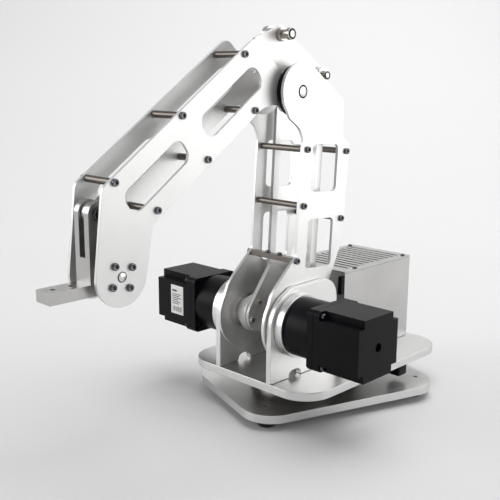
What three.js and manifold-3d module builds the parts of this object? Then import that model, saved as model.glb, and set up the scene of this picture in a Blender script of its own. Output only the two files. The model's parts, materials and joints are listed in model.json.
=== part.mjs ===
// Desktop palletising robot arm, three driven axes, with two levelling parallelograms.
// Millimetres, +Z up. Dimensions are taken from the waist axis at the height of the feet, and the
// finished robot is moved along Y so that its origin is the bottom centre of its box.
// The arm reaches towards -Y, and every arm pivot runs along X. "left" is the +X side.
import * as THREE from 'three';
import { mergeVertices } from 'three/addons/utils/BufferGeometryUtils.js';
import Module from 'manifold-3d';

const wasm = await Module();
wasm.setup();

// ---------------------------------------------------------------- driving dimensions
const GAP = 0.3;                      // air between neighbouring solids

const FOOT_HEIGHT = 8;
const FOOT_RADIUS = 9;
const BASE = { width: 150, length: 212, thick: 8, corner: 30, turn: -19, back: 25 };
const DECK = { halfWidth: 82, front: -75.3, rear: 150, thick: 8, corner: 30 };
const BASE_TOP = FOOT_HEIGHT + BASE.thick;
const DECK_TOP = 40.6;
const DECK_BOTTOM = DECK_TOP - DECK.thick;

const SHOULDER = { y: -41.5, z: 92.5 };
const LOWER_ARM_LENGTH = 215;
const LOWER_ARM_LEAN = 3.15;          // degrees behind the vertical
const FOREARM_LENGTH = 242;
const FOREARM_DROOP = 35.3;           // degrees below the horizontal

// The plates stand in mirrored pairs, inner and outer face measured from the middle plane.
const UPRIGHT = { inner: 30.8, outer: 36.8 };
const LOWER_PLATE = { inner: 27.2, outer: 30.2 };
const FOREARM_PLATE = { inner: 16.5, outer: 19.5 };
const ROCKER_PLATE = { inner: 10.6, outer: 13.9 };
const LEVEL_BAR = { inner: 14.2, outer: 19.4 };
const PUSHROD_BAR = { inner: -23.8, outer: -20.4 };
const WRIST_BAR = { inner: -2.8, outer: 2.8 };

const ROCKER_TOP = { y: -12.5, z: 50 };     // wrist bar pivot, from the elbow
const ROCKER_REAR = { y: 42, z: 14.4 };     // level bar pivot, from the elbow
const CRANK_RADIUS = 27;
const CRANK_ANGLE = 14;                     // degrees above the rearward horizontal

const MOTOR_SIDE = 56.4;              // 57 mm frame size stepper motor
const GEARBOX_RADIUS = 28;
const MOTOR = { ring: 46, gearbox: 74, adapter: 81, flange: 88, end: 131.6 };

const BOX = { halfWidth: 39.7, front: 28, rear: 142, top: 131.4, wall: 1.5 };
const WAIST_MOTOR_Y = 85;

const AXLE_RADIUS = 6;
const PIN_RADIUS = 4;
const SPACER_RADIUS = 3;

// ---------------------------------------------------------------- finishes
const finish = (color, roughness, metalness) =>
  new THREE.MeshStandardMaterial({ color, roughness, metalness });
const SILVER = finish(0xd9dadb, 0.34, 0.85);
const STEEL = finish(0xb9b9b6, 0.25, 0.95);
const BLACK = finish(0x121214, 0.4, 0.3);
const RUBBER = finish(0x0d0d0d, 0.85, 0);

// ---------------------------------------------------------------- geometry helpers
const rad = THREE.MathUtils.degToRad;
const polar = (radius, degrees, y = 0, z = 0) =>
  [y + radius * Math.cos(rad(degrees)), z + radius * Math.sin(rad(degrees))];

// Points of an arc about (y, z), both ends included, stepping about every `step` degrees.
function arc(y, z, radius, from, to, step = 12) {
  const count = Math.max(1, Math.round(Math.abs(to - from) / step));
  const points = [];
  for (let i = 0; i <= count; i++) points.push(polar(radius, from + ((to - from) * i) / count, y, z));
  return points;
}

// Closed outline through [u, v, radius] corners, each corner rounded to its radius.
function rounded(corners, step = 15) {
  const points = [];
  const n = corners.length;
  for (let i = 0; i < n; i++) {
    const [u, v, radius = 0] = corners[i];
    if (!radius) {
      points.push([u, v]);
      continue;
    }
    const here = new THREE.Vector2(u, v);
    const before = new THREE.Vector2(...corners[(i + n - 1) % n]).sub(here).normalize();
    const after = new THREE.Vector2(...corners[(i + 1) % n]).sub(here).normalize();
    const half = Math.acos(THREE.MathUtils.clamp(before.dot(after), -1, 1)) / 2;
    const centre = before.clone().add(after).normalize().multiplyScalar(radius / Math.sin(half)).add(here);
    const start = here.clone().addScaledVector(before, radius / Math.tan(half)).sub(centre);
    const end = here.clone().addScaledVector(after, radius / Math.tan(half)).sub(centre);
    let sweep = end.angle() - start.angle();
    if (sweep > Math.PI) sweep -= 2 * Math.PI;
    if (sweep < -Math.PI) sweep += 2 * Math.PI;
    const count = Math.max(2, Math.round(Math.abs(THREE.MathUtils.radToDeg(sweep)) / step));
    for (let k = 0; k <= count; k++) {
      const angle = start.angle() + (sweep * k) / count;
      points.push([centre.x + radius * Math.cos(angle), centre.y + radius * Math.sin(angle)]);
    }
  }
  return points;
}

const circle = (y, z, radius, count = 24) => arc(y, z, radius, 0, 360, 360 / count).slice(0, -1);
const box2 = (y0, z0, y1, z1, r = 0) => rounded([[y0, z0, r], [y1, z0, r], [y1, z1, r], [y0, z1, r]]);

// Outline of a bar with a round end about each of two pivots.
function barOutline(from, to, fromRadius, toRadius, width) {
  const along = Math.atan2(to[1] - from[1], to[0] - from[0]) * (180 / Math.PI);
  const open = (radius) => THREE.MathUtils.radToDeg(Math.asin(width / 2 / radius));
  const a = open(toRadius);
  const b = open(fromRadius);
  return [
    ...arc(...to, toRadius, along - 180 + a, along + 180 - a, 15),
    ...arc(...from, fromRadius, along + b, along + 360 - b, 15),
  ];
}

function shapeOf(outline, holes = []) {
  const shape = new THREE.Shape(outline.map(([u, v]) => new THREE.Vector2(u, v)));
  shape.holes = holes.map((hole) => new THREE.Path(hole.map(([u, v]) => new THREE.Vector2(u, v))));
  return shape;
}

const extrude = (outline, holes, depth) =>
  new THREE.ExtrudeGeometry(shapeOf(outline, holes), { depth, bevelEnabled: false, curveSegments: 12 });

// Plate whose outline lies in the Y-Z plane, from x0 to x1.
function sidePlate(outline, holes, x0, x1) {
  const geometry = extrude(outline, holes, x1 - x0);
  const turn = new THREE.Matrix4().makeBasis(
    new THREE.Vector3(0, 1, 0), new THREE.Vector3(0, 0, 1), new THREE.Vector3(1, 0, 0));
  return geometry.applyMatrix4(turn).translate(x0, 0, 0);
}

// Plate whose outline lies in the X-Y plane, from z0 to z1.
const deckPlate = (outline, holes, z0, z1) => extrude(outline, holes, z1 - z0).translate(0, 0, z0);

// Turned solid from an [x, radius] profile about the X axis through (y, z).
function turnedX(profile, y = 0, z = 0, sides = 32) {
  const points = profile.map(([x, radius]) => new THREE.Vector2(radius, x));
  const geometry = new THREE.LatheGeometry(points, sides);
  return geometry.rotateZ(-Math.PI / 2).translate(0, y, z);
}

// Turned solid from a [z, radius] profile about the Z axis through (x, y).
function turnedZ(profile, x = 0, y = 0, sides = 32) {
  const points = profile.map(([z, radius]) => new THREE.Vector2(radius, z));
  return new THREE.LatheGeometry(points, sides).rotateX(Math.PI / 2).translate(x, y, 0);
}

const rodX = (x0, x1, radius, y = 0, z = 0, sides = 24) =>
  turnedX([[x0, 0], [x0, radius], [x1, radius], [x1, 0]], y, z, sides);
const rodZ = (z0, z1, radius, x = 0, y = 0, sides = 24) =>
  turnedZ([[z0, 0], [z0, radius], [z1, radius], [z1, 0]], x, y, sides);
const ringX = (x0, x1, inner, outer, y = 0, z = 0, sides = 32) =>
  turnedX([[x0, inner], [x0, outer], [x1, outer], [x1, inner], [x0, inner]], y, z, sides);
const ringZ = (z0, z1, inner, outer, x = 0, y = 0, sides = 32) =>
  turnedZ([[z0, inner], [z0, outer], [z1, outer], [z1, inner], [z0, inner]], x, y, sides);
const block = (x0, x1, y0, y1, z0, z1) =>
  new THREE.BoxGeometry(x1 - x0, y1 - y0, z1 - z0).translate((x0 + x1) / 2, (y0 + y1) / 2, (z0 + z1) / 2);

function solid(geometry) {
  const bare = geometry.clone();
  bare.deleteAttribute('normal');
  bare.deleteAttribute('uv');
  const merged = mergeVertices(bare, 1e-4);
  const body = new wasm.Manifold(new wasm.Mesh({
    numProp: 3,
    vertProperties: new Float32Array(merged.attributes.position.array),
    triVerts: new Uint32Array(merged.index.array),
  }));
  if (body.volume() < 0) throw new Error('solid is inside out');
  return body;
}

function geometryOf(body) {
  const mesh = body.getMesh();
  const geometry = new THREE.BufferGeometry();
  geometry.setAttribute('position', new THREE.BufferAttribute(new Float32Array(mesh.vertProperties), 3));
  geometry.setIndex(new THREE.BufferAttribute(new Uint32Array(mesh.triVerts), 1));
  return geometry;
}

const join = (...list) => geometryOf(list.map(solid).reduce((a, b) => a.add(b)));
const cut = (base, ...tools) => geometryOf(tools.map(solid).reduce((a, b) => a.subtract(b), solid(base)));

const robot = new THREE.Group();
const groupAt = (y, z, degrees) => {
  const group = new THREE.Group();
  group.position.set(0, y, z);
  group.rotation.x = rad(degrees);
  robot.add(group);
  return group;
};
function place(name, geometry, material, parent = robot) {
  const mesh = new THREE.Mesh(geometry, material);
  mesh.name = name;
  parent.add(mesh);
  return mesh;
}

// ---------------------------------------------------------------- base
function baseOutline() {
  const { width, length, corner, turn, back } = BASE;
  const outline = rounded([
    [-width / 2, back - length / 2, corner], [width / 2, back - length / 2, corner],
    [width / 2, back + length / 2, corner], [-width / 2, back + length / 2, corner]], 10);
  return outline.map(([x, y]) => turned2(x, y, turn));
}

function turned2(x, y, degrees) {
  const c = Math.cos(rad(degrees));
  const s = Math.sin(rad(degrees));
  return [x * c - y * s, x * s + y * c];
}

function addBase() {
  const inset = 21;
  const holes = [];
  const spots = [[-1, -1], [1, -1], [1, 1], [-1, 1]];
  spots.forEach(([sx, sy], i) => {
    const across = sx * (BASE.width / 2 - inset);
    const along = BASE.back + sy * (BASE.length / 2 - inset);
    const [x, y] = turned2(across, along, BASE.turn);
    const foot = [[0, 0], [0, FOOT_RADIUS - 1.5], [1.5, FOOT_RADIUS], [FOOT_HEIGHT - GAP, FOOT_RADIUS - 1],
      [FOOT_HEIGHT - GAP, 0]];
    place(`foot_${i + 1}`, turnedZ(foot, x, y, 28), RUBBER);
    const [hx, hy] = turned2(sx * 48, sy < 0 ? -58 : 117.5, BASE.turn);
    holes.push(circle(hx, hy, 2.2, 12));
  });
  place('base_plate', deckPlate(baseOutline(), [circle(0, 0, 16), ...holes], FOOT_HEIGHT, BASE_TOP), SILVER);
}

// Waist: a toothed ring fixed on the base, the turntable's hub inside it, and the drive belt.
const WAIST = { hub: 27, pulley: 42, belt: 1.6, motorPulley: 14 };
function addWaist() {
  const z0 = BASE_TOP + GAP;
  const z1 = DECK_BOTTOM - 1.5;
  place('waist_ring', ringZ(z0, z1, WAIST.hub + GAP, WAIST.pulley, 0, 0, 48), STEEL);
  place('waist_hub', rodZ(z0 + 2, DECK_BOTTOM - GAP, WAIST.hub, 0, 0, 36), STEEL);
  const beltLow = BASE_TOP + 4;
  const beltHigh = DECK_BOTTOM - 4;
  const loop = (extra) => [
    ...arc(0, 0, WAIST.pulley + extra, 160, 380, 8),
    ...arc(0, WAIST_MOTOR_Y, WAIST.motorPulley + extra, 20, 160, 14)];
  place('waist_belt', deckPlate(loop(GAP + WAIST.belt), [loop(GAP)], beltLow, beltHigh), RUBBER);
  place('waist_motor_pulley', rodZ(beltLow - 1, beltHigh + 1.5, WAIST.motorPulley, 0, WAIST_MOTOR_Y, 32), STEEL);
}

// ---------------------------------------------------------------- turret
function addDeck() {
  const { halfWidth: w, front, rear, corner } = DECK;
  const outline = rounded([[-w, front, corner], [w, front, corner], [w, rear, corner], [-w, rear, corner]], 10);
  const holes = [circle(0, WAIST_MOTOR_Y, 13, 20)];
  place('turntable', deckPlate(outline, holes, DECK_BOTTOM, DECK_TOP), SILVER);
}

const LOBE_RADIUS = 34;
const UPRIGHT_TOP = 128.6;
const UPRIGHT_REAR = 19.5;
const CABLE_ARCH = { half: 8.5, height: 7, corner: 6 };
function uprightOutline() {
  const { y, z } = SHOULDER;
  const front = y - LOBE_RADIUS;
  return [
    [UPRIGHT_REAR, DECK_TOP + GAP],
    ...rounded([[UPRIGHT_REAR, DECK_TOP + 40], [UPRIGHT_REAR, UPRIGHT_TOP, 20], [y + 20, UPRIGHT_TOP]])
      .slice(1, -1),
    ...arc(y, z, LOBE_RADIUS + 1.8, 80, 100, 10),
    ...arc(y, z, LOBE_RADIUS, 110, 180, 10),
    [front, DECK_TOP + GAP],
    ...rounded([[y - CABLE_ARCH.half, DECK_TOP + GAP],
      [y - CABLE_ARCH.half, DECK_TOP + CABLE_ARCH.height, CABLE_ARCH.corner],
      [y + CABLE_ARCH.half, DECK_TOP + CABLE_ARCH.height, CABLE_ARCH.corner],
      [y + CABLE_ARCH.half, DECK_TOP + GAP]]),
  ];
}

function addUprights() {
  const { y, z } = SHOULDER;
  const [a, b] = [UPRIGHT.inner, UPRIGHT.outer];
  place('upright_left', sidePlate(uprightOutline(), [circle(y, z, 13)], a, b), SILVER);
  place('upright_right', sidePlate(uprightOutline(), [circle(y, z, 13)], -b, -a), SILVER);
}

// Geared stepper motor along X, mirrored for the right-hand side.
function squareOutline(half, notch, y, z) {
  const n = half - notch;
  return [[-n, -half], [n, -half], [n, -n], [half, -n], [half, n], [n, n], [n, half], [-n, half], [-n, n],
    [-half, n], [-half, -n], [-n, -n]].map(([u, v]) => [y + u, z + v]);
}

function addGearedMotor(name, side) {
  const { y, z } = SHOULDER;
  const half = MOTOR_SIDE / 2;
  const span = (x0, x1) => (side > 0 ? [x0, x1] : [-x1, -x0]);
  const start = UPRIGHT.outer + GAP;
  const [r0, r1] = span(start, MOTOR.ring);
  place(`${name}_mount_ring`, ringX(r0, r1, 14, GEARBOX_RADIUS + 2.5, y, z, 40), SILVER);
  const cover = side > 0
    ? [[MOTOR.ring + GAP, 0], [MOTOR.ring + GAP, GEARBOX_RADIUS], [MOTOR.gearbox, GEARBOX_RADIUS],
      [MOTOR.gearbox, 0]]
    : [[-MOTOR.gearbox, 0], [-MOTOR.gearbox, GEARBOX_RADIUS], [-MOTOR.ring - GAP, GEARBOX_RADIUS],
      [-MOTOR.ring - GAP, 0]];
  place(`${name}_gearbox`, turnedX(cover, y, z, 40), BLACK);
  const square = box2(y - half, z - half, y + half, z + half, 5);
  const [a0, a1] = span(MOTOR.gearbox + GAP, MOTOR.adapter);
  const [f0, f1] = span(MOTOR.adapter + GAP, MOTOR.flange);
  const bolt = half - 4.7;
  const holes = [[-1, -1], [1, -1], [1, 1], [-1, 1]].map(([u, v]) =>
    circle(y + u * bolt, z + v * bolt, 2.2, 10));
  place(`${name}_adapter`, sidePlate(square, holes, a0, a1), BLACK);
  const [b0, b1] = span(MOTOR.flange - 0.5, MOTOR.end);
  const body = join(sidePlate(square, holes, f0, f1),
    sidePlate(squareOutline(half, 7.6, y, z), [], b0, b1));
  const [h0, h1] = span(MOTOR.end - 4, MOTOR.end + 2);
  place(`${name}_motor`, cut(body, rodX(h0, h1, 4.2, y, z, 20)), BLACK);
}

// Ventilated housing over the waist motor.
function addHousing() {
  const { halfWidth: w, front, rear, top, wall } = BOX;
  const outer = block(-w, w, front, rear, DECK_TOP + GAP, top - 2);
  const inner = block(-w + wall, w - wall, front + wall, rear - wall, DECK_TOP - 5, top + 5);
  place('housing_cover', cut(outer, inner), SILVER);
  const lid = block(-w, w, front, rear, top - 2 + GAP, top);
  const slots = [];
  const rows = 11;
  for (let i = 0; i < rows; i++) {
    const y = front + 14 + i * 8.6;
    slots.push(block(-w + 8, w - 8, y, y + 3.4, top - 5, top + 5));
  }
  place('housing_lid', cut(lid, ...slots), SILVER);
  const half = MOTOR_SIDE / 2;
  const y = WAIST_MOTOR_Y;
  const z0 = DECK_TOP + GAP;
  place('waist_gearbox', turnedZ([[z0, 0], [z0, GEARBOX_RADIUS], [z0 + 28, GEARBOX_RADIUS], [z0 + 28, 0]],
    0, y, 36), BLACK);
  place('waist_motor', deckPlate(squareOutline(half, 7.6, 0, y), [], z0 + 28 + GAP, z0 + 28 + 54), BLACK);
  place('cable_gland', block(35, 39.5, 23, 27.7, 109, 127), BLACK);
}

// Bracket on the deck whose pin carries the foot of the level bar.
function addAnchor() {
  const y = SHOULDER.y + ROCKER_REAR.y;
  const z = SHOULDER.z + ROCKER_REAR.z;
  const x0 = 6.5;
  const x1 = LEVEL_BAR.inner - 1;
  const web = sidePlate([...arc(y, z, 9, 0, 180, 20), [y - 16, DECK_TOP + GAP], [y + 16, DECK_TOP + GAP]],
    [], x0, x1);
  const foot = block(-10, x1, y - 16, y + 16, DECK_TOP + GAP, DECK_TOP + GAP + 5);
  place('anchor_bracket', join(web, foot, rodX(x0 + 1, LEVEL_BAR.outer + 2, PIN_RADIUS, y, z)), SILVER);
}

// ---------------------------------------------------------------- lower arm
// Local frame: origin at the shoulder, +Z up the arm, +Y to its rear.
const LOWER_SPACERS = [[10.8, 162.9], [68.7, 161.2], [9.6, 110.4], [66.8, 95.5]];
const LOWER_WINDOWS = [[18, 123, 56.2, 168.3], [17, 49.5, 55, 97.3]];
const HEAD_RADIUS = 26.3;
function lowerArmOutline() {
  const length = LOWER_ARM_LENGTH;
  const head = arc(0, length, HEAD_RADIUS, 55, 222, 10);
  return [
    ...head,
    [-15.4, length - 24.6], [-7.4, length - 29.2], [-3.3, length - 31.8], [0.5, length - 35.5],
    [3.5, length - 41.1], [4.4, length - 47], [4.2, 156], [3.6, 148],
    ...rounded([[3.4, 140], [3.4, 63, 5], [-11.2, 48.5]]).slice(1, -1),
    [-11.2, 48.5], [-21.2, 38.2], [-28.2, 29.2],
    ...arc(0, 0, 37, 148, 348, 10),
    ...rounded([[36, -6], [71.4, 74, 24], [73, 170, 9], [62, 173.5, 4], [59.5, 209.5, 5], [20, 240]])
      .slice(1, -1),
  ];
}

function addLowerArm() {
  const arm = groupAt(SHOULDER.y, SHOULDER.z, -LOWER_ARM_LEAN);
  const windows = LOWER_WINDOWS.map((w) => box2(...w, 5));
  const elbow = circle(0, LOWER_ARM_LENGTH, AXLE_RADIUS + GAP);
  const { inner, outer } = LOWER_PLATE;
  const outline = lowerArmOutline();
  place('lower_arm_plate_left', sidePlate(outline, [circle(0, 0, 8.3), elbow, ...windows], inner, outer),
    SILVER, arm);
  place('lower_arm_plate_right', sidePlate(outline, [circle(0, 0, 17), elbow, ...windows], -outer, -inner),
    SILVER, arm);
  LOWER_SPACERS.forEach(([y, z], i) =>
    place(`lower_arm_spacer_${i + 1}`, rodX(-inner + GAP, inner - GAP, SPACER_RADIUS, y, z, 20), STEEL, arm));
  place('lower_arm_crossbar', sidePlate(box2(0.5, 56.3, 8, 61.3), [], -inner + GAP, inner - GAP), STEEL, arm);
  place('elbow_axle', rodX(-outer, outer, AXLE_RADIUS, 0, LOWER_ARM_LENGTH), STEEL, arm);
  place('shoulder_bearing', ringX(-outer + 0.5, -inner, 8.5, 16.7, 0, 0, 32), STEEL, arm);
  const hub = [[12, 0], [12, 15], [18, 15], [18, 22], [inner - GAP, 22], [inner - GAP, 8], [MOTOR.ring, 8],
    [MOTOR.ring, 0]];
  place('drive_hub', turnedX(hub, 0, 0, 36), STEEL, arm);
}

// ---------------------------------------------------------------- forearm crank and pushrod
function crankPin() {
  const [y, z] = polar(CRANK_RADIUS, CRANK_ANGLE);
  return { y, z };
}

// Blade on the hub's inner face, clear of the crossbar at every angle.
const LEVER = { inner: -13.7, outer: -9.3, angle: 53, half: 17, reach: 50.5, corner: 9 };
function addCrank() {
  const pin = crankPin();
  const { y, z } = SHOULDER;
  const x1 = PUSHROD_BAR.outer + 0.6;
  const web = sidePlate(barOutline([0, 0], [pin.y, pin.z], 17, 8, 15), [], x1, x1 + 6);
  const hub = rodX(x1, LEVER.inner + 1, 18.3, 0, 0, 36);
  const collar = rodX(-LOWER_PLATE.inner + GAP, x1 + 1, 14.3, 0, 0, 36);
  const shaft = rodX(-MOTOR.ring, x1 + 1, 8);
  const { half, reach, corner } = LEVER;
  const blade = [...arc(0, 0, half, 90, 270, 12),
    ...rounded([[0, -half], [reach, -half, corner], [reach, half, 2], [0, half]]).slice(1, -1)];
  const c = Math.cos(rad(LEVER.angle));
  const s = Math.sin(rad(LEVER.angle));
  const lever = sidePlate(blade.map(([u, v]) => [u * c - v * s, u * s + v * c]), [], LEVER.inner, LEVER.outer);
  place('crank', join(web, hub, collar, shaft, lever).translate(0, y, z), STEEL);
  place('crank_pin', rodX(PUSHROD_BAR.inner + 0.2, x1 - GAP, PIN_RADIUS, y + pin.y, z + pin.z), STEEL);
  const length = LOWER_ARM_LENGTH;
  const rod = groupAt(y + pin.y, z + pin.z, -LOWER_ARM_LEAN);
  const outline = barOutline([0, 0], [0, length], 8, 7.5, 8);
  const holes = [circle(0, 0, PIN_RADIUS + GAP), circle(0, length, PIN_RADIUS + GAP)];
  place('pushrod', sidePlate(outline, holes, PUSHROD_BAR.inner, PUSHROD_BAR.outer), SILVER, rod);
}

// ---------------------------------------------------------------- elbow rocker and level bar
function elbow() {
  const lean = rad(LOWER_ARM_LEAN);
  return {
    y: SHOULDER.y + LOWER_ARM_LENGTH * Math.sin(lean),
    z: SHOULDER.z + LOWER_ARM_LENGTH * Math.cos(lean),
  };
}

function addRocker() {
  const at = elbow();
  const { inner, outer } = ROCKER_PLATE;
  const [t, r] = [ROCKER_TOP, ROCKER_REAR];
  const outline = [
    ...arc(t.y, t.z, 7.5, 32, 96, 16),
    ...rounded([[t.y, t.z + 7.5], [-48, 45, 4], [-30, 8, 8], polar(19, 205)]).slice(1, -1),
    ...arc(0, 0, 19, 205, 290, 15),
    ...arc(r.y, r.z, 8.5, -52, 52, 18),
  ];
  const holes = [circle(0, 0, AXLE_RADIUS + GAP), circle(t.y, t.z, PIN_RADIUS + GAP),
    circle(r.y, r.z, PIN_RADIUS + GAP)];
  const rocker = groupAt(at.y, at.z, 0);
  place('rocker_plate', sidePlate(outline, holes, inner, outer), SILVER, rocker);
  const head = { from: 23.7, to: 27.3, radius: 5.5 };
  const topPin = [[WRIST_BAR.inner - 1.8, 0], [WRIST_BAR.inner - 1.8, PIN_RADIUS], [head.from, PIN_RADIUS],
    [head.from, head.radius], [head.to, head.radius], [head.to, 0]];
  place('rocker_top_pin', turnedX(topPin, t.y, t.z, 24), STEEL, rocker);
  place('rocker_rear_pin', rodX(inner - 0.4, head.from + 0.2, PIN_RADIUS, r.y, r.z), STEEL, rocker);
  const bar = groupAt(SHOULDER.y + r.y, SHOULDER.z + r.z, -LOWER_ARM_LEAN);
  const outlineBar = barOutline([0, 0], [0, LOWER_ARM_LENGTH], 8, 8, 9);
  const barHoles = [circle(0, 0, PIN_RADIUS + GAP), circle(0, LOWER_ARM_LENGTH, PIN_RADIUS + GAP)];
  place('level_bar', sidePlate(outlineBar, barHoles, LEVEL_BAR.inner, LEVEL_BAR.outer), SILVER, bar);
}

// ---------------------------------------------------------------- forearm
// Local frame: origin at the elbow, -Y along the forearm to the wrist, +Z to its upper side.
const FOREARM_SPACERS = [[-202.9, 63.3], [-119.9, 63], [-33.9, 62.6], [-50.7, 16.4], [-118.9, 17], [-184.5, 18.6]];
const FOREARM_WINDOWS = [[-204, 29.3, -132, 51, 8.5], [-108, 27.6, -28.4, 50.2, 10]];
const BEAM = { low: 12.2, high: 66.8 };
const WRIST_RADIUS = 24.2;
const SCREW_CIRCLE = 11.6;
function forearmOutline(reach) {
  const length = FOREARM_LENGTH;
  const wrist = [-length, 0];
  const droop = FOREARM_DROOP;
  return [
    ...rounded([[-12, 40], [-12, BEAM.high, 9], [-60, BEAM.high]]).slice(1, -1),
    ...rounded([[-100, BEAM.high], [-214, BEAM.high, 9], ...[polar(WRIST_RADIUS, 180 - droop, ...wrist)]])
      .slice(1, -1),
    ...arc(...wrist, WRIST_RADIUS, 180 - droop, 355 - droop, 10),
    ...rounded([polar(WRIST_RADIUS, 355 - droop, ...wrist), [-195, BEAM.low, 12], [-100, BEAM.low]])
      .slice(1, -1),
    [-46, BEAM.low], [-41.5, 11.4], [-35.6, 9.4], [-28.6, 5.9], [-25.1, 2.6], [-23.6, -1], [-22.6, -5.4],
    ...arc(0, 0, 22, 205, 305, 12),
    ...reach,
  ];
}

function addForearm() {
  const at = elbow();
  const arm = groupAt(at.y, at.z, FOREARM_DROOP);
  const { inner, outer } = FOREARM_PLATE;
  const windows = FOREARM_WINDOWS.map((w) => box2(...w));
  const bearing = 10;
  const holes = [circle(0, 0, bearing + GAP), circle(-FOREARM_LENGTH, 0, PIN_RADIUS + GAP), ...windows];
  const plainHead = arc(0, 0, 22, -42, 100, 12);
  const lever = CRANK_ANGLE - FOREARM_DROOP;
  const q = polar(CRANK_RADIUS, lever);
  const leverHead = [...arc(...q, 8, lever - 60, lever + 60, 15), ...arc(0, 0, 22, 52, 100, 12)];
  place('forearm_plate_left', sidePlate(forearmOutline(plainHead), holes, inner, outer), SILVER, arm);
  place('forearm_plate_right', sidePlate(forearmOutline(leverHead), [...holes, circle(...q, PIN_RADIUS + GAP)],
    -outer, -inner), SILVER, arm);
  FOREARM_SPACERS.forEach(([y, z], i) =>
    place(`forearm_spacer_${i + 1}`, rodX(-inner + GAP, inner - GAP, SPACER_RADIUS, y, z, 20), STEEL, arm));
  place('elbow_bearing_left', ringX(inner - GAP, outer, AXLE_RADIUS + GAP, bearing, 0, 0, 28), STEEL, arm);
  place('elbow_bearing_right', ringX(-outer, -inner + 2, AXLE_RADIUS + GAP, bearing, 0, 0, 28), STEEL, arm);
  place('pushrod_pin', rodX(PUSHROD_BAR.inner + 0.2, -inner + 1.5, PIN_RADIUS, ...q), STEEL, arm);
  place('wrist_axle', rodX(-outer, outer, PIN_RADIUS, -FOREARM_LENGTH, 0), STEEL, arm);
  for (const side of [1, -1]) {
    const x = side > 0 ? [HAND.half + 0.8, inner - GAP] : [-inner + GAP, -HAND.half - 0.8];
    place(`wrist_flange_${side > 0 ? 'left' : 'right'}`,
      ringX(...x, PIN_RADIUS + GAP, SCREW_CIRCLE + 4.5, -FOREARM_LENGTH, 0, 32), STEEL, arm);
  }
}

// ---------------------------------------------------------------- wrist bar and hand
const HAND = { half: 9.5, front: -22.5, reach: -58.6, low: -14, high: -4.4, slot: 3.6, slotFloor: 16 };
function addHand() {
  const at = elbow();
  const droop = rad(FOREARM_DROOP);
  const wrist = { y: at.y - FOREARM_LENGTH * Math.cos(droop), z: at.z - FOREARM_LENGTH * Math.sin(droop) };
  const t = ROCKER_TOP;
  const bar = groupAt(at.y + t.y, at.z + t.z, FOREARM_DROOP);
  const outline = barOutline([0, 0], [-FOREARM_LENGTH, 0], 8, 8, 9);
  const holes = [circle(0, 0, PIN_RADIUS + GAP), circle(-FOREARM_LENGTH, 0, PIN_RADIUS + GAP)];
  place('wrist_bar', sidePlate(outline, holes, WRIST_BAR.inner, WRIST_BAR.outer), SILVER, bar);
  const hand = groupAt(wrist.y, wrist.z, 0);
  const { half, front, reach, low, high, slot, slotFloor } = HAND;
  const ear = -t.y + front;
  const profile = [
    [reach, low], ...arc(0, 0, 14, 270, 390, 15),
    [t.y + 10, 30], ...arc(t.y, t.z, 10, 0, 180, 15).map(([u, v]) => [Math.max(u, t.y + ear), v]),
    [front, high], [reach, high],
  ];
  const pivots = [circle(0, 0, PIN_RADIUS + GAP), circle(t.y, t.z, PIN_RADIUS + GAP)];
  const body = sidePlate(profile, pivots, -half, half);
  const gap = block(-slot, slot, -40, 40, slotFloor, t.z + 20);
  const toolHoles = [-50, -34].map((y) => rodZ(low - 2, high + 2, 2.2, 0, y, 16));
  place('hand', cut(body, gap, ...toolHoles), SILVER, hand);
  const boss = [[-half - 1, 0], [-half - 1, PIN_RADIUS], [half + GAP, PIN_RADIUS], [half + GAP, 6.3],
    [half + 4, 6.3], [half + 4, 0]];
  place('wrist_bar_pin', turnedX(boss, t.y, t.z, 24), BLACK, hand);
}

addBase();
addWaist();
addDeck();
addUprights();
addGearedMotor('shoulder', 1);
addGearedMotor('elbow', -1);
addHousing();
addAnchor();
addLowerArm();
addCrank();
addRocker();
addForearm();
addHand();

const whole = new THREE.Box3().setFromObject(robot, true);
robot.position.y = -(whole.min.y + whole.max.y) / 2;

export default robot;
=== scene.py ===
import json
import math

import bmesh
import bpy
from mathutils import Matrix, Vector


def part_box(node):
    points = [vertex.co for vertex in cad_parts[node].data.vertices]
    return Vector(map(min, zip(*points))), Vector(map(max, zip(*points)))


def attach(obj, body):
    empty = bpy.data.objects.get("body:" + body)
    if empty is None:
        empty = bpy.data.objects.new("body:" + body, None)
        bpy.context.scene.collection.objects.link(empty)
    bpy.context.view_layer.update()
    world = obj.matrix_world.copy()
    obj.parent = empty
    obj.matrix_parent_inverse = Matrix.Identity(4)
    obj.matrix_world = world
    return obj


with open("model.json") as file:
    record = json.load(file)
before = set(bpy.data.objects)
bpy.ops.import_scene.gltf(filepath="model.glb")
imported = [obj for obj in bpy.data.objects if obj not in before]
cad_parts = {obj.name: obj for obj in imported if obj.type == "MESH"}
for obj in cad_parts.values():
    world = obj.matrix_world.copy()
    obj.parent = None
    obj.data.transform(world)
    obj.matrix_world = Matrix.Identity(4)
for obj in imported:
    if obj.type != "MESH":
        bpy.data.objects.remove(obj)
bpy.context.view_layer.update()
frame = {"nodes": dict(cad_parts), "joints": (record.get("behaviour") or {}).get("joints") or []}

MM = 0.001
PIVOT = {j["name"]: Vector(j["pos_m"]) for j in frame["joints"]}

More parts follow.
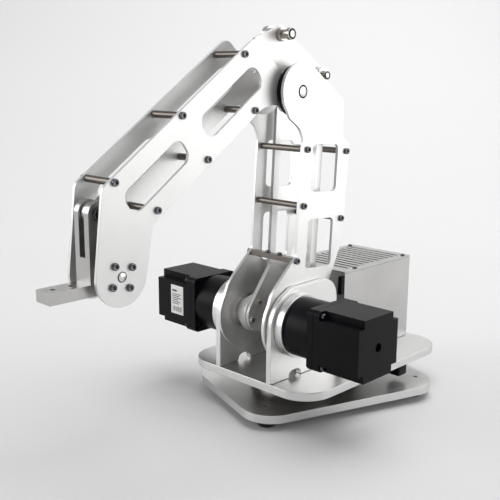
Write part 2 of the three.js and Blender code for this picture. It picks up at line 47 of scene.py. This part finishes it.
# ---------------------------------------------------------------- dimensions, in millimetres
# Screw places are (along the arm, up across it) from the arm's own pivot.
LOWER_ARM_TURN = -3.15          # degrees about +X, from an upright arm
LOWER_SCREWS = [(10.8, 162.9), (68.7, 161.2), (9.6, 110.4), (66.8, 95.5), (4.0, 58.8)]
CROSSBAR_TOP = (4.2, 61.3)
CROSSBAR_BOLTS_X = (-7.0, 8.0)
FOREARM_TURN = 35.3             # degrees about +X, from a level forearm
FOREARM_LENGTH = 242
FOREARM_SCREWS = [
    (-202.9, 63.3), (-119.9, 63), (-33.9, 62.6), (-50.7, 16.4), (-118.9, 17), (-184.5, 18.6)]
WRIST_SCREW_CIRCLE = 11.6
MOTOR_BOLT = 23.5               # from the shaft to each bolt, across and up
MOTOR_FLANGE_X = 88.0
LEVER_FACE_X = -9.3             # left face of the crank's blade
LEVER_BOLT_CIRCLE = 12.5
LEVER_BOLT_START = 105          # degrees
CLIP_PROUD = 0.15
CLIP_RIM = 0.05
DISC_FOOT = 0.1
DISC_RIM = (0.1, 0.15)          # down from its top, and in from its edge
TOP_COLLARS_X = (4.6, 14.4)
WASHER_GAP = 0.25
WASHER_RADIUS = 23.6
LID_SCREW_INSET = {"side": 4.0, "rear": 8.0, "front": 21.0}
STOP = (14.0, 14.0, 11.0)
STOP_AT = (73, 77)              # from the middle plane, and behind the waist's axis
STOP_GAP = 0.1

# Screw heads: radius, height, socket radius, socket depth.
PLATE_HEAD = (3.1, 2.3, 1.7, 1.6)
CROSSBAR_HEAD = (2.75, 2.2, 1.3, 1.2)
FLANGE_HEAD = (2.7, 3.4, 1.45, 1.8)
LEVER_HEAD = (2.9, 2.4, 1.5, 1.4)
LID_HEAD = (2.4, 1.3, 1.1, 0.8)

# Rating label, with plain bars for its text: each row is (up from the centre, width, height).
LABEL = (19.0, 0.16, 30.4)
LABEL_X = -101.5
LABEL_UP = 1.3
INK_THICK = 0.06
INK_PROUD = 0.1
ROW_LEFT = -7.4
LABEL_ROWS = [(9.5, 7.0, 2.0), (5.8, 13.0, 0.8), (3.8, 11.0, 0.8), (1.8, 13.5, 0.8),
              (-0.2, 9.0, 0.8), (-2.2, 12.5, 0.8), (-4.2, 10.0, 0.8)]
BAR_COUNT = 12
BAR_WIDTHS = (0.35, 0.5, 0.65)
BAR_LEFT, BAR_PITCH = -6.6, 1.18
BAR_UP, BAR_HEIGHT = -9.8, 5.2

# ---------------------------------------------------------------- materials
NOISE_LOW, NOISE_HIGH = 0.3, 0.7      # the part of the noise's 0..1 range that is used
NOISE_DETAIL = 4
BROAD_SCALE = 22


def new_material(name):
    material = bpy.data.materials.new(name)
    material.use_nodes = True
    nodes, links = material.node_tree.nodes, material.node_tree.links
    return material, nodes, links, nodes["Principled BSDF"]


def map_range(nodes, links, source, low, high, start=NOISE_LOW, end=NOISE_HIGH):
    """Maps a value to low..high as it runs from start to end."""
    node = nodes.new("ShaderNodeMapRange")
    node.inputs["From Min"].default_value = start
    node.inputs["From Max"].default_value = end
    node.inputs["To Min"].default_value = low
    node.inputs["To Max"].default_value = high
    links.new(source, node.inputs["Value"])
    return node.outputs["Result"]


def tint_between(nodes, links, source, low, high):
    ramp = nodes.new("ShaderNodeValToRGB")
    first, last = ramp.color_ramp.elements
    first.position, last.position = NOISE_LOW, NOISE_HIGH
    first.color = (*low, 1)
    last.color = (*high, 1)
    links.new(source, ramp.inputs["Fac"])
    return ramp.outputs["Color"]


def noise(nodes, links, scale, stretch=(1, 1, 1)):
    coordinates = nodes.new("ShaderNodeTexCoord")
    mapping = nodes.new("ShaderNodeMapping")
    mapping.inputs["Scale"].default_value = stretch
    texture = nodes.new("ShaderNodeTexNoise")
    texture.inputs["Scale"].default_value = scale
    texture.inputs["Detail"].default_value = NOISE_DETAIL
    links.new(coordinates.outputs["Object"], mapping.inputs["Vector"])
    links.new(mapping.outputs["Vector"], texture.inputs["Vector"])
    return texture.outputs["Fac"]


def bump(nodes, links, shader, source, strength, distance):
    node = nodes.new("ShaderNodeBump")
    node.inputs["Strength"].default_value = strength
    node.inputs["Distance"].default_value = distance
    links.new(source, node.inputs["Height"])
    links.new(node.outputs["Normal"], shader.inputs["Normal"])


def surface(name, dark, light, metallic, rough, grain, stretch=(1, 1, 1), relief=0.15,
            depth=0.00002):
    """Metal, paint or rubber: broad tint variation, with a fine grain in gloss and relief."""
    material, nodes, links, shader = new_material(name)
    shader.inputs["Metallic"].default_value = metallic
    broad = noise(nodes, links, BROAD_SCALE)
    links.new(tint_between(nodes, links, broad, dark, light), shader.inputs["Base Color"])
    fine = noise(nodes, links, grain, stretch)
    links.new(map_range(nodes, links, fine, *rough), shader.inputs["Roughness"])
    bump(nodes, links, shader, fine, relief, depth)
    return material


# Grain stretched along one way of the piece.
ALONG_X = (1, 6, 6)
ALONG_Y = (5, 1, 5)
ALONG_Z = (5, 5, 1)
SHEET_GRAIN = (1, 1, 4)
MATERIALS = {
    "plate": surface("anodised_plate", (0.66, 0.658, 0.65), (0.70, 0.698, 0.69), 1.0,
                     (0.28, 0.34), 1600, ALONG_Y, relief=0.05),
    "satin": surface("satin_plate", (0.68, 0.678, 0.67), (0.72, 0.718, 0.71), 0.75,
                     (0.40, 0.46), 1600, ALONG_Y, relief=0.05),
    "arm": surface("anodised_arm", (0.70, 0.698, 0.69), (0.74, 0.738, 0.73), 0.88,
                   (0.34, 0.40), 1600, ALONG_Z, relief=0.05),
    "bare": surface("bare_aluminium", (0.42, 0.415, 0.405), (0.47, 0.465, 0.455), 1.0,
                    (0.30, 0.40), 1400, ALONG_Y, relief=0.08),
    "sheet": surface("grey_sheet", (0.44, 0.435, 0.425), (0.50, 0.495, 0.485), 0.9,
                     (0.30, 0.36), 1800, SHEET_GRAIN, relief=0.06),
    "steel": surface("ground_steel", (0.44, 0.415, 0.38), (0.52, 0.495, 0.455), 1.0,
                     (0.20, 0.30), 1200, ALONG_X, relief=0.08),
    "rod": surface("dull_rod", (0.13, 0.117, 0.104), (0.18, 0.164, 0.146), 1.0,
                   (0.30, 0.40), 1200, ALONG_X, relief=0.08),
    "black": surface("black_motor", (0.003, 0.003, 0.004), (0.005, 0.005, 0.0065), 0.0,
                     (0.34, 0.44), 1600, relief=0.10),
    "rubber": surface("black_rubber", (0.010, 0.010, 0.010), (0.020, 0.020, 0.020), 0.0,
                      (0.62, 0.80), 900, relief=0.35, depth=0.0001),
    "screw": surface("dark_screw", (0.10, 0.10, 0.105), (0.18, 0.18, 0.19), 1.0,
                     (0.18, 0.30), 1200, relief=0.08),
    "ink": surface("label_ink", (0.05, 0.05, 0.05), (0.08, 0.08, 0.08), 0.0,
                   (0.5, 0.6), 600, depth=0.00004),
    "paper": surface("label_paper", (0.74, 0.74, 0.72), (0.82, 0.82, 0.80), 0.0,
                     (0.42, 0.52), 600, depth=0.00004),
}
for key, specular in (("black", 0.10), ("rubber", 0.3)):
    principled = MATERIALS[key].node_tree.nodes["Principled BSDF"]
    principled.inputs["Specular IOR Level"].default_value = specular


def material_of(node):
    if node.startswith("foot") or node == "waist_belt":
        return "rubber"
    if node.startswith("housing"):
        return "sheet"
    if node.endswith(("_gearbox", "_adapter", "_motor")) or node == "cable_gland":
        return "black"
    if node == "wrist_bar_pin":
        return "screw"
    if "spacer" in node or node == "lower_arm_crossbar":
        return "rod"
    if node == "hand":
        return "bare"
    if node == "crank" or node.startswith(("forearm_plate", "rocker_plate")):
        return "satin"
    if node in ("pushrod", "level_bar") or node.startswith(("lower_arm_plate", "upright")):
        return "arm"
    if "plate" in node or "mount_ring" in node:
        return "plate"
    if node in ("turntable", "wrist_bar", "anchor_bracket"):
        return "plate"
    return "steel"


# ---------------------------------------------------------------- finer edges on the CAD solids
SMALL_EDGE = 0.22 * MM
PLATE_EDGE = 0.45 * MM
WIDE_EDGED = ("plate", "satin", "arm", "bare", "black")     # materials with the wider edge
WELD_DISTANCE = 0.00001
FLAT_ANGLE = math.radians(1.5)
EDGE_ANGLE = math.radians(38)
PLAIN_EDGED = ("housing_lid",)      # slotted sheet that keeps its plain edges


def finish_node(name, node):
    node.data.materials.clear()
    node.data.materials.append(MATERIALS[material_of(name)])
    plain = name in PLAIN_EDGED
    for polygon in node.data.polygons:
        polygon.use_smooth = not plain
    weld = node.modifiers.new("weld", "WELD")
    weld.merge_threshold = WELD_DISTANCE
    if plain:
        return
    dissolve = node.modifiers.new("flat", "DECIMATE")
    dissolve.decimate_type = "DISSOLVE"
    dissolve.angle_limit = FLAT_ANGLE
    bevel = node.modifiers.new("edge", "BEVEL")
    bevel.width = PLATE_EDGE if material_of(name) in WIDE_EDGED else SMALL_EDGE
    bevel.segments = 2
    bevel.limit_method = "ANGLE"
    bevel.angle_limit = EDGE_ANGLE
    bevel.use_clamp_overlap = True
    normals = node.modifiers.new("normals", "WEIGHTED_NORMAL")
    normals.keep_sharp = False
    normals.weight = 60


for node_name, node_object in frame["nodes"].items():
    finish_node(node_name, node_object)

# ---------------------------------------------------------------- mesh helpers
SHARP_ANGLE = math.radians(35)


def ring(bm, z, radius, count, shape=None):
    """A ring of vertices; "hex" puts them on a hexagon of that across-corner radius."""
    made = []
    for i in range(count):
        angle = 2 * math.pi * i / count
        r = radius
        if shape == "hex":
            r = radius * math.cos(math.pi / 6) / math.cos((angle % (math.pi / 3)) - math.pi / 6)
        made.append(bm.verts.new((r * math.cos(angle), r * math.sin(angle), z)))
    return made


def bridge(bm, a, b):
    for i in range(len(a)):
        j = (i + 1) % len(a)
        bm.faces.new((a[i], a[j], b[j], b[i]))


def mesh_of(bm, name):
    bmesh.ops.recalc_face_normals(bm, faces=bm.faces)
    mesh = bpy.data.meshes.new(name)
    bm.to_mesh(mesh)
    bm.free()
    for polygon in mesh.polygons:
        polygon.use_smooth = True
    return mesh


def turned(name, rings, count):
    """Closed turned solid along +Z from (z, radius[, "hex"]) rings in millimetres."""
    bm = bmesh.new()
    made = [ring(bm, r[0] * MM, r[1] * MM, count, *r[2:]) for r in rings]
    for a, b in zip(made, made[1:]):
        bridge(bm, a, b)
    bm.faces.new(made[0])
    bm.faces.new(made[-1])
    return mesh_of(bm, name)


def socket_screw(name, radius, height, socket, depth):
    """Screw head standing on z = 0, with a rounded rim and a hexagonal socket."""
    rim = min(0.5, radius * 0.14)
    foot, lip = 0.15, 0.25
    return turned(name, [
        (0, radius - foot), (foot, radius), (height - rim, radius),
        (height - rim * 0.3, radius - rim * 0.3), (height, radius - rim),
        (height, socket + lip), (height - 0.2, socket, "hex"),
        (height - depth, socket * 0.98, "hex"), (height - depth - 0.3, socket * 0.4)], 36)


def slab(name, size, edge):
    """Box of that size about the origin, with rounded edges."""
    bm = bmesh.new()
    bmesh.ops.create_cube(bm, size=1)
    bmesh.ops.scale(bm, vec=[s * MM for s in size], verts=bm.verts)
    bmesh.ops.bevel(bm, geom=list(bm.edges), offset=edge * MM, segments=2, affect="EDGES",
                    profile=0.5)
    return mesh_of(bm, name)


def place(name, mesh, matrix, body, material):
    piece = bpy.data.objects.new(name, mesh)
    bpy.context.scene.collection.objects.link(piece)
    if not mesh.materials:
        mesh.materials.append(MATERIALS[material])
    mesh.set_sharp_from_angle(angle=SHARP_ANGLE)
    piece.matrix_world = matrix
    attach(piece, body)


def place_screw(name, mesh, matrix, body):
    place(name, mesh, matrix, body, "screw")


def facing(x_mm, y, z, side, spin=0.0):
    """Stands a piece's +Z along +X or -X at a point: x in millimetres, y and z in metres."""
    turn = Matrix.Rotation(math.radians(90 * side), 4, "Y")
    return Matrix.Translation((x_mm * MM, y, z)) @ turn @ Matrix.Rotation(spin, 4, "Z")


def arm_point(pivot, turn, along, up):
    """World y and z, in metres, of a point in a turned arm's own frame, in millimetres."""
    c, s = math.cos(math.radians(turn)), math.sin(math.radians(turn))
    p = PIVOT[pivot]
    return p.y + (along * c - up * s) * MM, p.z + (along * s + up * c) * MM


def lower_arm_point(along, up):
    return arm_point("shoulder_pivot", LOWER_ARM_TURN, along, up)


def forearm_point(along, up):
    return arm_point("elbow_pivot", FOREARM_TURN, along, up)


def side_name(side):
    return "left" if side > 0 else "right"


# ---------------------------------------------------------------- screws of the plates and motors
SCREW = socket_screw("screw_m4", *PLATE_HEAD)
CROSSBAR_SCREW = socket_screw("screw_m3", *CROSSBAR_HEAD)
FLANGE_SCREW = socket_screw("screw_flange", *FLANGE_HEAD)
CORNERS = ((1, 1), (1, -1), (-1, -1), (-1, 1))
lower_plate_low, lower_plate_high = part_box("lower_arm_plate_left")
LOWER_FACE = lower_plate_high.x / MM
FOREARM_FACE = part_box("forearm_plate_left")[1].x / MM
shoulder = PIVOT["shoulder_pivot"]

for side in (1, -1):
    word = side_name(side)
    for i, at in enumerate(LOWER_SCREWS):
        place_screw(f"lower_screw_{word}_{i + 1}", SCREW,
                    facing(side * LOWER_FACE, *lower_arm_point(*at), side, 0.4 * i), "lower_arm")
    for i, at in enumerate(FOREARM_SCREWS):
        place_screw(f"forearm_screw_{word}_{i + 1}", SCREW,
                    facing(side * FOREARM_FACE, *forearm_point(*at), side, 0.3 * i), "forearm")
    for i in range(4):
        angle = math.radians(90 * i)
        at = (-FOREARM_LENGTH + WRIST_SCREW_CIRCLE * math.cos(angle),
              WRIST_SCREW_CIRCLE * math.sin(angle))
        place_screw(f"wrist_screw_{word}_{i + 1}", SCREW,
                    facing(side * FOREARM_FACE, *forearm_point(*at), side, 0.7 * i), "forearm")
    for i, (u, v) in enumerate(CORNERS):
        y, z = shoulder.y + u * MOTOR_BOLT * MM, shoulder.z + v * MOTOR_BOLT * MM
        place_screw(f"motor_screw_{word}_{i + 1}", FLANGE_SCREW,
                    facing(side * MOTOR_FLANGE_X, y, z, side, 0.5 * i), "turret")

# ---------------------------------------------------------------- bolts on the crank's blade
LEVER_BOLT = socket_screw("screw_lever", *LEVER_HEAD)
for i in range(4):
    angle = math.radians(LEVER_BOLT_START + 90 * i)
    place(f"lever_bolt_{i + 1}", LEVER_BOLT,
          facing(LEVER_FACE_X, shoulder.y + LEVER_BOLT_CIRCLE * math.cos(angle) * MM,
                 shoulder.z + LEVER_BOLT_CIRCLE * math.sin(angle) * MM, 1, angle),
          "forearm_crank", "steel")


# ---------------------------------------------------------------- ends of the axles and pins
def pin_end(name, at, radius, width, body, proud=0.35):
    """Dark clip ring of that width around a bright disc, on the flush end of a pin."""
    inner = radius - width
    down, inward = DISC_RIM
    clip = [(0, radius), (0.12, radius), (CLIP_PROUD, radius - CLIP_RIM)]
    disc = [(DISC_FOOT, inner), (proud - down, inner), (proud, inner - inward)]
    clip_mesh = turned(name + "_clip", clip, 40)
    disc_mesh = turned(name + "_disc", disc, 40)
    place(name + "_clip", clip_mesh, at, body, "black")
    place(name + "_disc", disc_mesh, at, body, "plate")


elbow = PIVOT["elbow_pivot"]
wrist = PIVOT["wrist_pivot"]
for side in (1, -1):
    word = side_name(side)
    pin_end(f"elbow_axle_{word}", facing(side * LOWER_FACE, elbow.y, elbow.z, side),
            radius=5.8, width=1.15, body="lower_arm")
    pin_end(f"wrist_axle_{word}", facing(side * FOREARM_FACE, wrist.y, wrist.z, side),
            radius=3.9, width=0.4, body="forearm")
rear_low, rear_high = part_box("rocker_rear_pin")
pin_end("rear_pin", facing(rear_high.x / MM, (rear_low.y + rear_high.y) / 2,
                           (rear_low.z + rear_high.z) / 2, 1),
        radius=3.9, width=1.3, body="rocker", proud=0.25)
TOP_PIN_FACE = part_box("rocker_top_pin")[1].x / MM
top_pin = PIVOT["wrist_bar_pivot"]
pin_end("top_pin", facing(TOP_PIN_FACE, top_pin.y, top_pin.z, 1),
        radius=4.8, width=1.6, body="rocker", proud=0.5)
PIN_COLLAR = turned("pin_collar", [
    (0, 4.1), (0, 5.8), (0.4, 6.2), (2.6, 6.2), (3.0, 5.8), (3.0, 4.1)], 32)
for i, x in enumerate(TOP_COLLARS_X):
    place(f"top_pin_collar_{i + 1}", PIN_COLLAR, facing(x, top_pin.y, top_pin.z, 1), "rocker",
          "steel")

# ---------------------------------------------------------------- washer at the elbow
WASHER_FROM = FOREARM_FACE + WASHER_GAP
WASHER_WIDTH = lower_plate_low.x / MM - WASHER_GAP - WASHER_FROM
WASHER = turned("elbow_washer", [
    (0, WASHER_RADIUS - 0.4), (0.3, WASHER_RADIUS), (WASHER_WIDTH - 0.3, WASHER_RADIUS),
    (WASHER_WIDTH, WASHER_RADIUS - 0.4)], 64)
place("elbow_washer", WASHER, facing(WASHER_FROM, elbow.y, elbow.z, 1), "lower_arm", "black")

# ---------------------------------------------------------------- crossbar bolts
for i, x in enumerate(CROSSBAR_BOLTS_X):
    y, z = lower_arm_point(*CROSSBAR_TOP)
    lean = Matrix.Rotation(math.radians(LOWER_ARM_TURN), 4, "X")
    place_screw(f"crossbar_bolt_{i + 1}", CROSSBAR_SCREW,
                Matrix.Translation((x * MM, y, z)) @ lean, "lower_arm")

# ---------------------------------------------------------------- housing screws
lid_low, lid_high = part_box("housing_lid")
LID_SCREW = socket_screw("screw_lid", *LID_HEAD)
for i, (sx, sy) in enumerate(CORNERS):
    x = sx * (lid_high.x - LID_SCREW_INSET["side"] * MM)
    if sy > 0:
        y = lid_high.y - LID_SCREW_INSET["rear"] * MM
    else:
        y = lid_low.y + LID_SCREW_INSET["front"] * MM
    place_screw(f"lid_screw_{i + 1}", LID_SCREW, Matrix.Translation((x, y, lid_high.z)), "turret")

# ---------------------------------------------------------------- stop block under the turntable
deck_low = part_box("turntable")[0]
waist = PIVOT["waist_turn"]
stop_centre = (STOP_AT[0] * MM, waist.y + STOP_AT[1] * MM,
               deck_low.z - (STOP[2] / 2 + STOP_GAP) * MM)
place("turntable_stop", slab("turntable_stop", STOP, 0.8), Matrix.Translation(stop_centre),
      "turret", "black")

# ---------------------------------------------------------------- label on the right-hand motor
motor_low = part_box("elbow_motor")[0]
label_centre = Vector((LABEL_X * MM, motor_low.y - LABEL[1] / 2 * MM, shoulder.z + LABEL_UP * MM))
place("motor_label", slab("motor_label", LABEL, 0.05), Matrix.Translation(label_centre), "turret",
      "paper")


def print_bar(name, mesh_name, x, up, width, height):
    """A bar of ink on the label, its centre at x and up from the label's."""
    at = label_centre + Vector((x * MM, -INK_PROUD * MM, up * MM))
    place(name, slab(mesh_name, (width, INK_THICK, height), 0.01), Matrix.Translation(at),
          "turret", "ink")


for i, (up, width, height) in enumerate(LABEL_ROWS):
    print_bar(f"label_row_{i + 1}", "label_row", width / 2 + ROW_LEFT, up, width, height)
for i in range(BAR_COUNT):
    print_bar(f"label_bar_{i + 1}", "label_bar", BAR_LEFT + i * BAR_PITCH, BAR_UP,
              BAR_WIDTHS[i % len(BAR_WIDTHS)], BAR_HEIGHT)

# ---------------------------------------------------------------- camera
CAMERA = Vector((513.7, -521.4, 320.05)) * MM
AZIMUTH, PITCH, ROLL = math.radians(44.47), math.radians(12.18), math.radians(0.33)
camera_data = bpy.data.cameras.new("camera")
camera_data.sensor_width = 36.0
camera_data.lens = 57.84
camera_data.clip_start = 0.01
camera_data.clip_end = 50
camera = bpy.data.objects.new("camera", camera_data)
bpy.context.scene.collection.objects.link(camera)
look = Vector((-math.sin(AZIMUTH) * math.cos(PITCH), math.cos(AZIMUTH) * math.cos(PITCH),
               -math.sin(PITCH)))
aim = look.to_track_quat("-Z", "Y").to_matrix().to_4x4() @ Matrix.Rotation(ROLL, 4, "Z")
camera.matrix_world = Matrix.Translation(CAMERA) @ aim
bpy.context.scene.camera = camera

# ---------------------------------------------------------------- floor, lights, world (metres)
# Painted light: the floor's grey rises from the front to the backdrop, standing in for the light
# falling off towards the front.
FLOOR_GREY, HORIZON_GREY, BACKDROP_GREY = 0.58, 0.70, 0.76
FLOOR_RUN = (0.0, 1.1)          # behind the robot, along a line that rises at 45 degrees
FLOOR_FRONT, FLOOR_REAR, FLOOR_HALF_WIDTH = -3.0, 1.5, 4.0
SWEEP_RADIUS, SWEEP_STEPS, BACKDROP_HEIGHT = 0.9, 16, 3.0
ROBOT_CENTRE = (0.0, 0.0, 0.18)

# Name, position, the point it aims at, width and height, watts.
LIGHTS = [
    ("key_top", (0.15, 0.35, 1.7), ROBOT_CENTRE, (1.5, 1.5), 27),
    ("key_right", (1.15, 1.05, 0.42), (0, 0, 0.15), (1.6, 0.95), 10),
    ("fill_left", (-1.0, -1.0, 0.6), ROBOT_CENTRE, (1.0, 0.8), 9),
]
WORLD_COLOUR, WORLD_STRENGTH = (0.94, 0.94, 0.95, 1), 0.42


def floor_material():
    """Grey paper that brightens as it runs back and sweeps up into the backdrop: the brightening
    is painted light, standing in for light that falls more strongly towards the back.
    """
    material, nodes, links, shader = new_material("studio_floor")
    coordinates = nodes.new("ShaderNodeTexCoord")
    tilt = nodes.new("ShaderNodeMapping")
    tilt.inputs["Rotation"].default_value = (math.radians(-45), 0, 0)
    split = nodes.new("ShaderNodeSeparateXYZ")
    links.new(coordinates.outputs["Object"], tilt.inputs["Vector"])
    links.new(tilt.outputs["Vector"], split.inputs["Vector"])
    run = map_range(nodes, links, split.outputs["Y"], 0.0, 1.0, *FLOOR_RUN)
    ramp = nodes.new("ShaderNodeValToRGB")
    ramp.color_ramp.elements.new(0.5)
    for element, grey in zip(ramp.color_ramp.elements,
                             (FLOOR_GREY, HORIZON_GREY, BACKDROP_GREY)):
        element.color = (grey, grey, grey, 1)
    links.new(run, ramp.inputs["Fac"])
    links.new(ramp.outputs["Color"], shader.inputs["Base Color"])
    shader.inputs["Roughness"].default_value = 0.5
    shader.inputs["Specular IOR Level"].default_value = 0.3
    return material


def make_floor():
    """A flat floor that sweeps up into a backdrop behind the robot, as seen by the camera."""
    bend = FLOOR_REAR - SWEEP_RADIUS
    line = [(FLOOR_FRONT, 0.0), (bend, 0.0)]
    for i in range(1, SWEEP_STEPS + 1):
        t = math.pi / 2 * i / SWEEP_STEPS
        line.append((bend + SWEEP_RADIUS * math.sin(t), SWEEP_RADIUS - SWEEP_RADIUS * math.cos(t)))
    line.append((FLOOR_REAR, BACKDROP_HEIGHT))
    bm = bmesh.new()
    left, right = [[bm.verts.new((x, y, z)) for y, z in line]
                   for x in (-FLOOR_HALF_WIDTH, FLOOR_HALF_WIDTH)]
    for i in range(len(line) - 1):
        bm.faces.new((left[i], right[i], right[i + 1], left[i + 1]))
    floor = bpy.data.objects.new("studio_floor", mesh_of(bm, "studio_floor"))
    floor.data.materials.append(floor_material())
    bpy.context.scene.collection.objects.link(floor)
    floor.matrix_world = Matrix.Rotation(AZIMUTH, 4, "Z")


def area_light(name, position, target, size, power):
    data = bpy.data.lights.new(name, "AREA")
    data.shape = "RECTANGLE"
    data.size, data.size_y = size
    data.energy = power
    light = bpy.data.objects.new(name, data)
    bpy.context.scene.collection.objects.link(light)
    light.location = position
    light.rotation_mode = "QUATERNION"
    aim_at = Vector(target) - Vector(position)
    light.rotation_quaternion = aim_at.to_track_quat("-Z", "Y")


make_floor()
for light_values in LIGHTS:
    area_light(*light_values)

world = bpy.data.worlds.new("studio")
world.use_nodes = True
background = world.node_tree.nodes["Background"]
background.inputs["Color"].default_value = WORLD_COLOUR
background.inputs["Strength"].default_value = WORLD_STRENGTH
bpy.context.scene.world = world
bpy.context.scene.view_settings.view_transform = "Standard"
bpy.context.scene.view_settings.look = "None"
